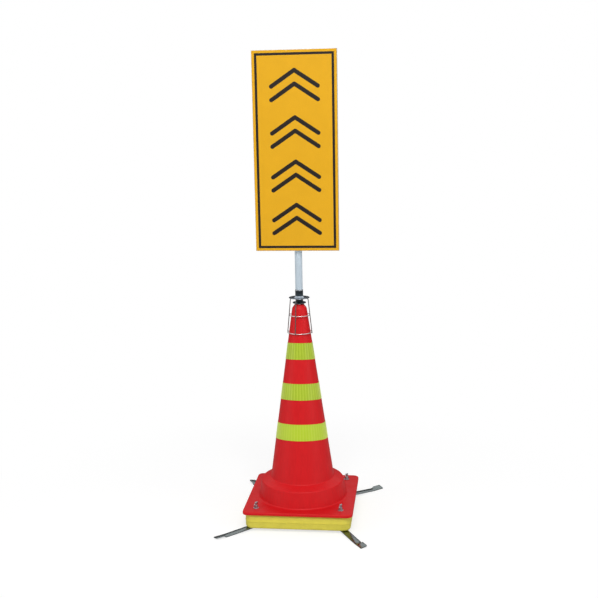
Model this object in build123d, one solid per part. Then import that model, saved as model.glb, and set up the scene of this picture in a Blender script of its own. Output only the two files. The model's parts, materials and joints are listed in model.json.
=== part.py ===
from build123d import *
import math
import os

# A warning board on a pole, standing on the tip of a traffic cone. The cone is bolted down on a
# square ballast tank, and four flat bars swing out from under the tank as legs.
# Frame: the origin is on the ground under the cone's axis, +Z is up, and the board faces -Y.
# Sizes are in millimetres and angles in degrees.

# Clearances
running_gap = 0.08      # radial play where one piece turns on another
fixed_gap = 0.02        # play between pieces that are fastened to each other
ballast_gap = 0.3       # between the filling and the tank's walls
overcut = 2.0           # how far a cutting solid runs past the face that it cuts
chamfer_share = 0.586   # chamfer that keeps a wall's thickness inside a rounded edge, by its radius

# Legs, flat bars that turn on the corner bolts
leg_width = 25.0
leg_thickness = 3.2
leg_reach = 164.0       # bolt axis to the tip
leg_level_run = 24.0    # level stretch under the tank, from the bolt axis
leg_slope_run = 96.0    # from the end of the level stretch down to the ground
leg_pad_length = 16.0   # stretch that lies on the ground
leg_toe_rise = 5.8      # how high the toe turns up
leg_bend_radius = 30.0
leg_tip_radius = 6.0
leg_trail_one = -12.8   # front right and rear left, away from the tank's diagonal
leg_trail_two = -5.0    # rear right and front left

# Corner bolts with their washers and wing nuts
corner_spacing = 294.0  # from one bolt to the next, along a side
bolt_diameter = 8.0
bolt_head_flats = 13.0
bolt_head_height = 5.3
bolt_ground_gap = 0.7   # from the ground to the bolt's head
bolt_hole_diameter = 9.0
bolt_proud = 21.0       # above the cone's plate
bolt_chamfer = 0.8
washer_diameter = 20.0
washer_thickness = 1.6
wing_hub_radius = 7.5
wing_hub_top_radius = 6.0
wing_hub_height = 9.0
wing_span = 33.0
wing_lift = 12.5        # centre of a wing's round end, above the nut's base
wing_end_radius = 5.0
wing_root_radius = 3.0
wing_thickness = 3.0
wing_turn = 78.0        # wings lie nearly along the depth

# Ballast tank
tank_side = 365.0
tank_height = 52.8
tank_corner = 28.0
tank_edge = 9.0
tank_wall = 3.0
tank_column_wall = 5.0
parting_rib_height = 2.4
parting_rib_depth = 0.9
pocket_width = 62.0     # recess for the filler in the rear side
pocket_depth = 18.0
pocket_height = 41.5
pocket_corner = 6.0
neck_radius = 12.0
neck_bore_radius = 9.0
neck_length = 11.5
neck_collar_radius = 15.0
neck_collar_thickness = 2.0
gasket_thickness = 1.5
cap_wall = 3.0
cap_skirt = 10.0
cap_flutes = 18
cap_flute_radius = 1.2
air_space = 6.0         # above the filling

# Cone
cone_height = 704.0     # from the rim's lower edge to the tip
cone_wall = 3.0
cone_tip_height = 66.0  # of the tip's own piece, on top of the shell
plate_side = 380.0
plate_corner = 20.0
plate_thickness = 4.0
plate_edge = 3.0
rim_depth = 10.0
boss_radius = 15.0
rib_thickness = 3.0
step_foot_radius = 156.0
step_top_radius = 146.0
step_height = 59.0      # above the plate's top
step_slope = 13.0       # rise of the step's top towards the shaft
shaft_foot_radius = 112.0
shoulder_radius = 25.4
shoulder_drop = 14.0    # below the tip
tip_radius = 15.0
tip_hole_radius = 8.5
foot_fillet = 6.0
step_fillet = 5.0
shoulder_fillet = 14.0
tip_fillet = 5.0
band_height = 59.5
band_pitch = 140.5
band_drop = 158.0       # from the tip to the upper band's centre
band_thickness = 0.5
band_gap = 0.3          # adhesive between a band and the shaft

# Head on the cone's tip
bush_radius = 12.5      # collar on the tip, under the seat washer
bush_height = 3.0
bush_hang = 6.0         # spigot through the tip's wall
stud_diameter = 12.0
stud_hang = 60.0        # below the tip, inside the cone
stud_chamfer = 1.0
seat_washer_radius = 23.0
seat_washer_thickness = 3.0
spring_washer_radius = 10.5
spring_washer_thickness = 2.4
nut_flats = 19.0
nut_thickness = 10.8
jam_nut_thickness = 7.8
disc_radius = 36.0
disc_sheet = 2.0
disc_hub_height = 6.0
disc_hub_radius = 13.3
disc_hub_foot_radius = 18.5
upper_nut_flats = 24.0
upper_nut_height = 18.0

# Wire cage round the cone's tip
wire_diameter = 3.0
wire_top_radius = 32.5  # at the bend under the disc
wire_low_radius = 45.3
wire_drop = 121.5       # from the bend to the wires' lower ends
wire_foot = 12.0        # welded under the disc
wire_bend = 4.0
cage_turn = -14.0       # turns the front wire away from the front
upper_hoop_drop = 58.5
lower_hoop_drop = 119.5
weld_gap = 0.05

# Pole
pole_diameter = 25.4
pole_wall = 1.4
pole_length = 769.0
plug_flange_radius = 13.6
plug_flange_height = 4.0
plug_length = 27.0
stud_grip = 23.0        # of the stud, inside the plug
pole_cap_height = 3.0
pole_cap_spigot = 12.0

# Board with its rails and saddles
board_width = 285.0
board_height = 668.0
board_sheet = 1.2
board_flange = 10.0
board_bend = 1.0
board_above_pole_foot = 137.0
face_thickness = 0.4
rail_length = 262.0
rail_sheet = 1.2
rail_depth = 10.0
rail_crown = 26.0
rail_flange = 11.0
rail_lower_height = 132.0   # above the board's lower edge
rail_upper_height = 532.0
saddle_width = 20.0
saddle_sheet = 2.0
saddle_ear = 34.0
saddle_fillet = 1.5
saddle_bolt_diameter = 6.0
saddle_bolt_offset = 25.0
saddle_hole_diameter = 6.6
saddle_head_flats = 10.0
saddle_head_height = 4.0
saddle_nut_height = 5.0
saddle_bolt_spare = 1.5

# Heights above the ground, from the legs up
leg_bottom = bolt_ground_gap + bolt_head_height
tank_bottom = leg_bottom + leg_thickness
tank_top = tank_bottom + tank_height
plate_top = tank_top + rim_depth
step_top = plate_top + step_height
shaft_foot = step_top + step_slope
tip_top = tank_top + cone_height
tip_foot = tip_top - cone_tip_height
shoulder_level = tip_top - shoulder_drop
bush_top = tip_top + bush_height
seat_top = bush_top + seat_washer_thickness
nut_base = seat_top + spring_washer_thickness
hub_under = nut_base + nut_thickness + jam_nut_thickness
hub_top = hub_under + disc_sheet
disc_top = hub_top - disc_hub_height
disc_under = disc_top - disc_sheet
wire_level = disc_under - wire_diameter / 2 - fixed_gap
upper_nut_top = hub_top + upper_nut_height
pole_foot = upper_nut_top + plug_flange_height
pole_head = pole_foot + pole_length
board_low = pole_foot + board_above_pole_foot
board_high = board_low + board_height

# Depths behind and before the pole's axis
pole_radius = pole_diameter / 2
panel_back = -(pole_radius + rail_depth)
panel_front = panel_back - board_sheet
pocket_floor = tank_side / 2 - pocket_depth
tank_middle = (tank_bottom + tank_top) / 2

# Corners, as name, side along X, side along Y and the leg's turn from the diagonal
corners = [
    ("front_right", 1, -1, leg_trail_one),
    ("rear_right", 1, 1, leg_trail_two),
    ("rear_left", -1, 1, leg_trail_one),
    ("front_left", -1, -1, leg_trail_two),
]


# Basic forms

def column(radius, low, high, at=(0, 0)):
    """Upright cylinder between two heights."""
    return Pos(at[0], at[1], (low + high) / 2) * Cylinder(radius, high - low)


def ring(outer, inner, low, high, at=(0, 0)):
    """Upright tube or washer."""
    return column(outer, low, high, at) - column(inner, low - overcut, high + overcut, at)


def hexagon(flats, low, high, at=(0, 0)):
    """Upright six-sided prism, measured across its flats."""
    outline = RegularPolygon(flats / 2, 6, major_radius=False)
    return Pos(at[0], at[1], low) * extrude(outline, high - low)


def rounded_block(width, depth, corner, low, high):
    """Upright block with rounded corners."""
    return Pos(0, 0, low) * extrude(RectangleRounded(width, depth, corner), high - low)


def barrel(radius, start, end, height, at_x=0):
    """Cylinder that lies along Y."""
    return Pos(at_x, (start + end) / 2, height) * Rot(90, 0, 0) * Cylinder(radius, end - start)


def turned(outline):
    """Solid of revolution about Z from an outline in radius and height."""
    return revolve(Plane.XZ * make_face(outline), axis=Axis.Z)


def corner_point(side_x, side_y):
    """Axis of a corner bolt."""
    return (side_x * corner_spacing / 2, side_y * corner_spacing / 2)


def corner_points():
    return [corner_point(side_x, side_y) for _, side_x, side_y, _ in corners]


# Legs

def make_leg():
    """Leg along +X from a bolt at the origin: level, sloping, flat on the ground, toe up."""
    pad_start = leg_level_run + leg_slope_run
    pad_end = pad_start + leg_pad_length
    under = [
        (-leg_width, leg_bottom),
        (leg_level_run, leg_bottom),
        (pad_start, 0),
        (pad_end, 0),
        (leg_reach + overcut, leg_toe_rise),
    ]
    over = [(along, height + leg_thickness) for along, height in under]
    radii = [leg_bend_radius, leg_bend_radius, leg_bend_radius]
    lower = FilletPolyline(*under, radius=radii)
    upper = FilletPolyline(*over, radius=radii)
    ends = [Line(under[0], over[0]), Line(under[-1], over[-1])]
    side = Plane.XZ * make_face([lower.edges(), upper.edges(), ends])
    bar = extrude(side, leg_width / 2, both=True)
    plan = Circle(leg_width / 2) + Pos(leg_reach / 2, 0) * Rectangle(leg_reach, leg_width)
    plan = fillet(plan.vertices().group_by(Axis.X)[-1], leg_tip_radius)
    outline = Pos(0, 0, -overcut) * extrude(plan, leg_bottom + leg_thickness + 2 * overcut)
    hole = column(bolt_diameter / 2 + running_gap, -overcut, tank_top)
    return (bar & outline) - hole


def place_leg(leg, side_x, side_y, trail):
    """Put a leg on its bolt, turned away from the tank's diagonal."""
    diagonal = math.degrees(math.atan2(side_y, side_x))
    return Pos(*corner_point(side_x, side_y), 0) * Rot(0, 0, diagonal + trail) * leg


# Corner fastenings

def make_corner_bolt(at):
    """Hexagon bolt from under the leg up through the wing nut."""
    top = plate_top + bolt_proud
    shank = column(bolt_diameter / 2, leg_bottom - overcut, top, at)
    shank = chamfer(shank.edges().group_by(Axis.Z)[-1], bolt_chamfer)
    return hexagon(bolt_head_flats, bolt_ground_gap, leg_bottom, at) + shank


def make_wing_nut(at):
    """Wing nut: a tapered hub with two raised wings."""
    base = plate_top + washer_thickness
    hub = Pos(0, 0, wing_hub_height / 2) * Cone(wing_hub_radius, wing_hub_top_radius, wing_hub_height)
    reach = wing_span / 2 - wing_end_radius
    wings = []
    for side in (-1, 1):
        end = Pos(side * reach, wing_lift) * Circle(wing_end_radius)
        root = Pos(side * wing_root_radius, wing_root_radius) * Circle(wing_root_radius)
        blade = make_hull([end.edge(), root.edge()])
        wings.append(extrude(Plane.XZ * blade, wing_thickness / 2, both=True))
    bore = column(bolt_diameter / 2 + running_gap, -overcut, wing_hub_height + wing_lift)
    nut = hub + wings - bore
    return Pos(at[0], at[1], base) * Rot(0, 0, wing_turn) * nut


# Ballast tank

def tank_block(inset):
    """The tank's block before its edges are softened, moved in by inset on every side."""
    side = tank_side - 2 * inset
    return rounded_block(side, side, tank_corner - inset, tank_bottom + inset, tank_top - inset)


def tank_outside():
    block = tank_block(0)
    return fillet(block.faces().filter_by(Axis.Z).edges(), tank_edge)


def tank_inside(inset):
    """Block within the tank's walls, its edges chamfered where the outside is rounded."""
    block = tank_block(inset)
    return chamfer(block.faces().filter_by(Axis.Z).edges(), (tank_edge - inset) * chamfer_share)


def filler_pocket(grow):
    """Blind recess in the tank's rear side, made larger by grow."""
    width = pocket_width + 2 * grow
    depth = 2 * (pocket_depth + grow)
    half = pocket_height / 2 + grow
    block = rounded_block(width, depth, pocket_corner + grow, tank_middle - half, tank_middle + half)
    return Pos(0, tank_side / 2, 0) * block


def bolt_columns(grow):
    """Sleeves that lead the corner bolts through the tank."""
    radius = bolt_hole_diameter / 2 + tank_column_wall + grow
    return [column(radius, 0, tank_top + overcut, at) for at in corner_points()]


def make_tank():
    outer_side = tank_side + 2 * parting_rib_depth
    rib_low = tank_middle - parting_rib_height / 2
    rib_high = tank_middle + parting_rib_height / 2
    rib = rounded_block(outer_side, outer_side, tank_corner + parting_rib_depth, rib_low, rib_high)
    shell = tank_outside() + rib - filler_pocket(0)
    cavity = tank_inside(tank_wall) - filler_pocket(tank_wall) - bolt_columns(0)
    holes = [column(bolt_hole_diameter / 2, 0, plate_top, at) for at in corner_points()]
    hole_start = pocket_floor - tank_wall - overcut
    neck_hole = barrel(neck_radius + fixed_gap, hole_start, pocket_floor + overcut, tank_middle)
    return shell - cavity - holes - neck_hole


def make_ballast():
    """Filling up to the air space."""
    inset = tank_wall + ballast_gap
    form = tank_inside(inset) - filler_pocket(inset) - bolt_columns(ballast_gap)
    level = tank_top - tank_wall - air_space
    air = rounded_block(tank_side, tank_side, tank_corner, level, tank_top)
    return form - air


def make_filler_neck():
    """Threaded neck pressed into the pocket's floor up to its collar."""
    start = pocket_floor - tank_wall
    end = pocket_floor + neck_length
    neck = barrel(neck_radius, start, end, tank_middle)
    collar = barrel(neck_collar_radius, pocket_floor, pocket_floor + neck_collar_thickness, tank_middle)
    return neck + collar - barrel(neck_bore_radius, start - overcut, end + overcut, tank_middle)


def make_filler_gasket():
    start = pocket_floor + neck_length
    disc = barrel(neck_radius, start, start + gasket_thickness, tank_middle)
    return disc - barrel(neck_bore_radius, start - overcut, start + 2 * overcut, tank_middle)


def make_filler_cap():
    """Fluted screw cap over the neck and the gasket."""
    inside = pocket_floor + neck_length + gasket_thickness
    radius = neck_radius + running_gap + cap_wall
    skirt_start = inside - cap_skirt
    cup = barrel(radius, skirt_start, inside + cap_wall, tank_middle)
    cup = chamfer(cup.edges().group_by(Axis.Y)[-1], cap_wall / 3)
    cup = cup - barrel(neck_radius + running_gap, skirt_start - overcut, inside, tank_middle)
    flutes = []
    for index in range(cap_flutes):
        angle = 2 * math.pi * index / cap_flutes
        across = (radius + cap_flute_radius / 2) * math.cos(angle)
        height = tank_middle + (radius + cap_flute_radius / 2) * math.sin(angle)
        end = inside + cap_wall + overcut
        flutes.append(barrel(cap_flute_radius, skirt_start - overcut, end, height, across))
    return cup - flutes


# Cone

def shaft_radius(height):
    """Radius of the cone's tapered shaft at a height."""
    share = (height - shaft_foot) / (shoulder_level - shaft_foot)
    return shaft_foot_radius + share * (shoulder_radius - shaft_foot_radius)


def cone_outer():
    """Outside of the step, the shaft and the tip, with a disc that blends into the plate."""
    skirt_radius = step_foot_radius + 2 * foot_fillet
    points = [
        (skirt_radius, plate_top),
        (step_foot_radius, plate_top),
        (step_top_radius, step_top),
        (shaft_foot_radius, shaft_foot),
        (shoulder_radius, shoulder_level),
        (tip_radius, tip_top),
        (0, tip_top),
    ]
    radii = [foot_fillet, step_fillet, step_fillet, shoulder_fillet, tip_fillet]
    curve = FilletPolyline(*points, radius=radii)
    low = plate_top - plate_thickness / 2
    closing = Polyline((0, tip_top), (0, low), (skirt_radius, low), (skirt_radius, plate_top))
    return turned([curve.edges(), closing.edges()])


def cone_inner():
    """The hollow of the cone, open at the bottom."""
    low = tank_top - overcut
    points = [
        (step_foot_radius - cone_wall, low),
        (step_top_radius - cone_wall, step_top - cone_wall),
        (shaft_foot_radius - cone_wall, shaft_foot - cone_wall),
        (shoulder_radius - cone_wall, shoulder_level - cone_wall),
        (tip_radius - cone_wall, tip_top - cone_wall),
        (0, tip_top - cone_wall),
    ]
    radii = [step_fillet / 2, step_fillet + cone_wall, shoulder_fillet - cone_wall, tip_fillet / 2]
    curve = FilletPolyline(*points, radius=radii)
    closing = Polyline((0, tip_top - cone_wall), (0, low), (step_foot_radius - cone_wall, low))
    return turned([curve.edges(), closing.edges()])


def make_plate():
    """Square plate with a rim, bosses at the bolts, a ring under the step, and ribs."""
    plate = rounded_block(plate_side, plate_side, plate_corner, tank_top, plate_top)
    plate = fillet(plate.faces().sort_by(Axis.Z)[-1].edges(), plate_edge)
    under = plate_top - plate_thickness
    inner_side = plate_side - 2 * plate_thickness
    inner_corner = plate_corner - plate_thickness
    plate -= rounded_block(inner_side, inner_side, inner_corner, tank_top - overcut, under)
    plate += [column(boss_radius, tank_top, under, at) for at in corner_points()]
    plate += column(step_foot_radius, tank_top, under)
    for side in (-1, 1):
        middle = (step_foot_radius + inner_side / 2) / 2
        length = inner_side / 2 - step_foot_radius + overcut
        rib = Box(length, rib_thickness, under - tank_top)
        for turn in (0, 90):
            at_side = Rot(0, 0, turn) * Pos(side * middle, 0, (tank_top + under) / 2)
            plate += at_side * rib
    return plate


def make_cone():
    """The moulded skin as two pieces that meet face to face: the shell and its narrow tip."""
    skin = make_plate() + cone_outer() - cone_inner()
    skin -= column(tip_hole_radius, shoulder_level, tip_top + overcut)
    skin -= [column(bolt_hole_diameter / 2, 0, plate_top + overcut, at) for at in corner_points()]
    above = column(plate_side, tip_foot, tip_top + overcut)
    return skin - above, skin & above


def make_band(centre):
    """Reflective sleeve on the shaft."""
    low = centre - band_height / 2
    high = centre + band_height / 2
    inner_low = shaft_radius(low) + band_gap
    inner_high = shaft_radius(high) + band_gap
    outline = Polyline(
        (inner_low, low),
        (inner_low + band_thickness, low),
        (inner_high + band_thickness, high),
        (inner_high, high),
        close=True,
    )
    return turned(outline.edges())


# Head on the tip

def make_tip_bush():
    """Collar on the cone's tip, with a spigot through its hole, that the stud turns in."""
    low = tip_top - bush_hang
    collar = column(bush_radius, tip_top, bush_top)
    spigot = column(tip_hole_radius - fixed_gap, low, bush_top)
    bore = column(stud_diameter / 2 + running_gap, low - overcut, bush_top + overcut)
    return collar + spigot - bore


def make_stud():
    rod = column(stud_diameter / 2, tip_top - stud_hang, pole_foot + stud_grip)
    return chamfer(rod.edges().filter_by(GeomType.CIRCLE), stud_chamfer)


def make_nut(flats, low, high):
    """Nut on the stud, its corners rounded off by a turned cone."""
    bore = stud_diameter / 2 + fixed_gap
    chamfer_cone = column(flats / math.sqrt(3), low, high)
    rounding = (flats / math.sqrt(3) - flats / 2) * 0.9
    chamfer_cone = chamfer(chamfer_cone.edges().filter_by(GeomType.CIRCLE), rounding / 2, rounding)
    return (hexagon(flats, low, high) & chamfer_cone) - column(bore, low - overcut, high + overcut)


def make_cage_disc():
    """Pressed disc with a raised hub over the lower nuts."""
    bore = stud_diameter / 2 + fixed_gap
    top = [
        (disc_radius, disc_top),
        (disc_hub_foot_radius, disc_top),
        (disc_hub_radius, hub_top),
        (bore, hub_top),
    ]
    under = [
        (bore, hub_under),
        (disc_hub_radius - disc_sheet, hub_under),
        (disc_hub_foot_radius - disc_sheet, disc_under),
        (disc_radius, disc_under),
    ]
    return turned(Polyline(*top, *under, close=True).edges())


def wire_radius_at(drop):
    """Distance from the axis to a cage wire, at a drop below its bend."""
    return wire_top_radius + (wire_low_radius - wire_top_radius) * drop / wire_drop


def make_cage_wire(angle):
    """One wire: a foot welded under the disc, a bend, and a straight run down."""
    path = FilletPolyline(
        (wire_top_radius - wire_foot, 0, wire_level),
        (wire_top_radius, 0, wire_level),
        (wire_low_radius, 0, wire_level - wire_drop),
        radius=wire_bend,
    )
    section = Plane(origin=path @ 0, z_dir=path % 0) * Circle(wire_diameter / 2)
    return Rot(0, 0, angle) * sweep(section, path=path)


def make_cage_hoop(drop):
    """Hoop inside the wires, welded to them."""
    level = wire_level - drop
    radius = wire_radius_at(drop) - wire_diameter - weld_gap
    return Pos(0, 0, level) * Torus(radius, wire_diameter / 2)


def make_pole_plug():
    """Threaded plug with a flange, driven into the pole's foot."""
    bore = stud_diameter / 2 + fixed_gap
    flange = column(plug_flange_radius, upper_nut_top, pole_foot)
    body_radius = pole_radius - pole_wall - fixed_gap
    body = column(body_radius, upper_nut_top, pole_foot + plug_length)
    return flange + body - column(bore, upper_nut_top - overcut, pole_foot + plug_length + overcut)


def make_pole_cap():
    head = column(pole_radius, pole_head, pole_head + pole_cap_height)
    head = fillet(head.edges().group_by(Axis.Z)[-1], pole_cap_height / 2)
    spigot_radius = pole_radius - pole_wall - fixed_gap
    return head + column(spigot_radius, pole_head - pole_cap_spigot, pole_head)


# Board

def board_block(inset, front, back):
    """Upright block of the board's outline between two depths."""
    width = board_width - 2 * inset
    height = board_height - 2 * inset
    middle = (board_low + board_high) / 2
    return Pos(0, (front + back) / 2, middle) * Box(width, back - front, height)


def make_board_panel():
    """Tray folded from sheet, open at the back."""
    back = panel_front + board_flange
    tray = board_block(0, panel_front, back)
    tray = fillet(tray.faces().sort_by(Axis.Y)[0].edges(), board_bend)
    return tray - board_block(board_sheet, panel_back, back + overcut)


def make_face_sheet():
    return board_block(board_bend, panel_front - face_thickness, panel_front)


def make_rail(height):
    """Hat rail across the board's back, with holes for its saddle's bolts."""
    base = panel_back + rail_sheet / 2
    crown = -pole_radius - rail_sheet / 2
    half = rail_crown / 2
    line = Polyline(
        (base, -half - rail_flange),
        (base, -half),
        (crown, -half),
        (crown, half),
        (base, half),
        (base, half + rail_flange),
    )
    section = trace(line, rail_sheet)
    rail = Pos(0, 0, height) * extrude(Plane.YZ * section, rail_length / 2, both=True)
    for side in (-1, 1):
        offset = side * saddle_bolt_offset
        start = -pole_radius - 2 * rail_sheet
        rail -= barrel(saddle_hole_diameter / 2, start, 0, height, offset)
    return rail


def make_saddle(height):
    """Strap round the back of the pole, with an ear on each side."""
    inner = pole_radius + fixed_gap
    outer = inner + saddle_sheet
    face = -pole_radius
    arch = Circle(outer) + Pos(0, face / 2) * Rectangle(2 * outer, -face)
    ears = Pos(0, face + saddle_sheet / 2) * Rectangle(2 * saddle_ear, saddle_sheet)
    opening = Circle(inner) + Pos(0, face / 2 - overcut) * Rectangle(2 * inner, -face + 2 * overcut)
    below = Pos(0, face - outer) * Rectangle(4 * saddle_ear, 2 * outer)
    outline = arch + ears - opening - below
    strap = extrude(outline, saddle_width / 2, both=True)
    roots = strap.edges().filter_by(Axis.Z).filter_by(
        lambda edge: abs(abs(edge.center().X) - outer) < 0.01 and edge.center().Y < face + 2 * saddle_sheet
    )
    strap = Pos(0, 0, height) * fillet(roots, saddle_fillet)
    for side in (-1, 1):
        offset = side * saddle_bolt_offset
        strap -= barrel(saddle_hole_diameter / 2, face - overcut, 0, height, offset)
    return strap


def make_saddle_bolt(height, offset):
    """Hexagon bolt through a saddle's ear and its rail."""
    seat = -pole_radius + saddle_sheet
    end = -pole_radius - rail_sheet - saddle_nut_height - saddle_bolt_spare
    outline = RegularPolygon(saddle_head_flats / 2, 6, major_radius=False)
    head = extrude(Plane.XZ * outline, saddle_head_height)
    head = Pos(offset, seat + saddle_head_height, height) * head
    return head + barrel(saddle_bolt_diameter / 2, end, seat + overcut, height, offset)


def make_saddle_nut(height, offset):
    top = -pole_radius - rail_sheet
    outline = RegularPolygon(saddle_head_flats / 2, 6, major_radius=False)
    nut = Pos(offset, top, height) * extrude(Plane.XZ * outline, saddle_nut_height)
    bore = saddle_bolt_diameter / 2 + fixed_gap
    return nut - barrel(bore, top - saddle_nut_height - overcut, top + overcut, height, offset)


# Assembly, each node under its own name

def make_pieces():
    points = corner_points()
    cone_shell, cone_tip = make_cone()
    washer_hole = bolt_hole_diameter / 2
    washer_top = plate_top + washer_thickness
    pieces = {
        "weight_tank": make_tank(),
        "ballast_fill": make_ballast(),
        "filler_neck": make_filler_neck(),
        "filler_gasket": make_filler_gasket(),
        "filler_cap": make_filler_cap(),
        "cone_shell": cone_shell,
        "cone_tip": cone_tip,
        "corner_bolts": [make_corner_bolt(at) for at in points],
        "corner_washers": [
            ring(washer_diameter / 2, washer_hole, plate_top, washer_top, at) for at in points
        ],
    }
    for index, name in enumerate(["band_upper", "band_middle", "band_lower"]):
        pieces[name] = make_band(tip_top - band_drop - index * band_pitch)
    leg = make_leg()
    for name, side_x, side_y, trail in corners:
        pieces["leg_" + name] = place_leg(leg, side_x, side_y, trail)
        pieces["wing_nut_" + name] = make_wing_nut(corner_point(side_x, side_y))
    stud_hole = stud_diameter / 2 + running_gap
    pieces["tip_bush"] = make_tip_bush()
    pieces["seat_washer"] = ring(seat_washer_radius, stud_hole, bush_top, seat_top)
    pieces["stud"] = make_stud()
    pieces["spring_washer"] = ring(spring_washer_radius, stud_hole, seat_top, nut_base)
    middle = nut_base + nut_thickness
    pieces["lower_nuts"] = [
        make_nut(nut_flats, nut_base, middle),
        Rot(0, 0, 20) * make_nut(nut_flats, middle, hub_under),
    ]
    pieces["cage_disc"] = make_cage_disc()
    turns = [-90 + cage_turn + quarter * 90 for quarter in range(4)]
    pieces["cage_wires"] = [make_cage_wire(turn) for turn in turns]
    pieces["cage_hoop_upper"] = make_cage_hoop(upper_hoop_drop)
    pieces["cage_hoop_lower"] = make_cage_hoop(lower_hoop_drop)
    pieces["upper_nut"] = make_nut(upper_nut_flats, hub_top, upper_nut_top)
    pieces["pole_plug"] = make_pole_plug()
    pieces["pole_tube"] = ring(pole_radius, pole_radius - pole_wall, pole_foot, pole_head)
    pieces["pole_cap"] = make_pole_cap()
    pieces["board_panel"] = make_board_panel()
    pieces["face_sheet"] = make_face_sheet()
    heights = [board_low + rail_upper_height, board_low + rail_lower_height]
    for name, height in zip(["upper", "lower"], heights):
        pieces["rail_" + name] = make_rail(height)
        pieces["saddle_" + name] = make_saddle(height)
    places = [(height, side * saddle_bolt_offset) for height in heights for side in (-1, 1)]
    pieces["saddle_bolts"] = [make_saddle_bolt(height, offset) for height, offset in places]
    pieces["saddle_nuts"] = [make_saddle_nut(height, offset) for height, offset in places]
    return pieces


os.makedirs("parts", exist_ok=True)
for node, shape in make_pieces().items():
    solid = Compound(children=shape) if isinstance(shape, list) else shape
    export_step(solid, f"parts/{node}.step")
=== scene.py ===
# %% [markdown]
# # A warning board that stands on a traffic cone
#
# This notebook dresses a finished construction in Blender. The construction gives every piece at its
# real size, in metres, with +Z up and the board facing -Y. A piece whose shape is already right only
# gets a finish here. A piece that needs softer edges, a thread or a print is modelled anew in the same
# place, rides on the same body and takes the old one's part.

# %% Load the construction
import json
import math
import bmesh
import bpy
from mathutils import Matrix, Vector


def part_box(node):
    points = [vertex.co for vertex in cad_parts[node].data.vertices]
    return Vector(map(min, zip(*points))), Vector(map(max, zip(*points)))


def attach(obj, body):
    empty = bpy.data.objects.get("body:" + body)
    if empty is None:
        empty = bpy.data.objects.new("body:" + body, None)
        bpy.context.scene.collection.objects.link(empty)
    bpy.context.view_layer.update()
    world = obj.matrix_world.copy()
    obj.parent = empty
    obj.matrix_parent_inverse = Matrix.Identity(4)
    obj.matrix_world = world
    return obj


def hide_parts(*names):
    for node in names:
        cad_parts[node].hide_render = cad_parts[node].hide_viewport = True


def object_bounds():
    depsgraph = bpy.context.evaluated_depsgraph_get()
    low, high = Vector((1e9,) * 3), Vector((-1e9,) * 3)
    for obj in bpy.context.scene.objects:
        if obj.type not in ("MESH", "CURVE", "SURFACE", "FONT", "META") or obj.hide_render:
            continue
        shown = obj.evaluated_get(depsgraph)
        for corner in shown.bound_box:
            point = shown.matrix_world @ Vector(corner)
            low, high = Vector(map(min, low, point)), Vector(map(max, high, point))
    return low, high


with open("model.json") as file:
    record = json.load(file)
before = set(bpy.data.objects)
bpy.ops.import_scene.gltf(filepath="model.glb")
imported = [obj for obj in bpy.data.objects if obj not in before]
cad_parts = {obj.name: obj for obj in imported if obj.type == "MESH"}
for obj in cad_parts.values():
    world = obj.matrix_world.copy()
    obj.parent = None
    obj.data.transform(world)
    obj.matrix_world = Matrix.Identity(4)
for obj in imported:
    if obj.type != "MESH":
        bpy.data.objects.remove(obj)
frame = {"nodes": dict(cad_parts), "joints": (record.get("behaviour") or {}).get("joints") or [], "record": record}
cad_low, cad_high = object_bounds()
mm = 0.001
print("construction", [round(side, 3) for side in cad_high - cad_low])

# %% [markdown]
# ## Camera
#
# The camera stands a little to the right of the sign and looks down on it by some ten degrees. It
# could be placed by eye, but then each size would have to be judged again and again. Here it comes
# from the edges of the board, the plate and the bands, which fix the distance, the lens and the small
# roll of a camera that was held in the hand.

# %% Camera
view_turn = math.radians(7.0)
view_pitch = math.radians(10.44)
view_roll = math.radians(1.10)
view_distance = 3.331
view_lens = 57.8
aim = Vector((-0.0009, 0, 0.7825))

across = view_distance * math.cos(view_pitch)
eye = aim + Vector((across * math.sin(view_turn), -across * math.cos(view_turn),
                    view_distance * math.sin(view_pitch)))
bpy.ops.object.camera_add(location=eye)
camera = bpy.context.object
camera.name = "camera"
camera.rotation_mode = "QUATERNION"
level = (aim - eye).to_track_quat("-Z", "Y")
camera.rotation_quaternion = (level.to_matrix() @ Matrix.Rotation(-view_roll, 3, "Z")).to_quaternion()
camera.data.sensor_width = 36
camera.data.lens = view_lens
camera.data.clip_end = 60
bpy.context.scene.camera = camera
print("camera", [round(value, 3) for value in eye])

# %% [markdown]
# ## Studio
#
# The object stands in a plain white studio. One large soft lamp high in front lights the flat tops
# most, and a weak one on each side keeps round pieces from darkening much towards their outlines. The
# rest of the light comes from the whole room, which is white in the picture. Mirrored in metal or in
# smooth plastic, the same room is dark near its horizon, and the paper on the floor is grey. A room
# that is white all round would leave steel without a dark line and would wash out the red.

# %% World light
room_light = 0.48
horizon_shine = 0.04
horizon_height = (0.28, 0.46)

world = bpy.data.worlds.new("room")
bpy.context.scene.world = world
world.use_nodes = True
nodes = world.node_tree.nodes
links = world.node_tree.links
background = nodes["Background"]
background.inputs["Color"].default_value = (1, 1, 1, 1)


def straight_rays(nodes, links, path):
    """One for a ray that shows the room itself, in the picture or through glass."""
    total = nodes.new("ShaderNodeMath")
    total.operation = "ADD"
    total.use_clamp = True
    links.new(path.outputs["Is Camera Ray"], total.inputs[0])
    links.new(path.outputs["Is Transmission Ray"], total.inputs[1])
    return total.outputs[0]


def spread(nodes, links, value, start, end, low, high):
    """Value that runs smoothly from low to high as another one goes from start to end."""
    spread = nodes.new("ShaderNodeMapRange")
    spread.interpolation_type = "SMOOTHSTEP"
    for socket, number in (("From Min", start), ("From Max", end), ("To Min", low), ("To Max", high)):
        if isinstance(number, (int, float)):
            spread.inputs[socket].default_value = number
        else:
            links.new(number, spread.inputs[socket])
    links.new(value, spread.inputs["Value"])
    return spread.outputs["Result"]


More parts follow.
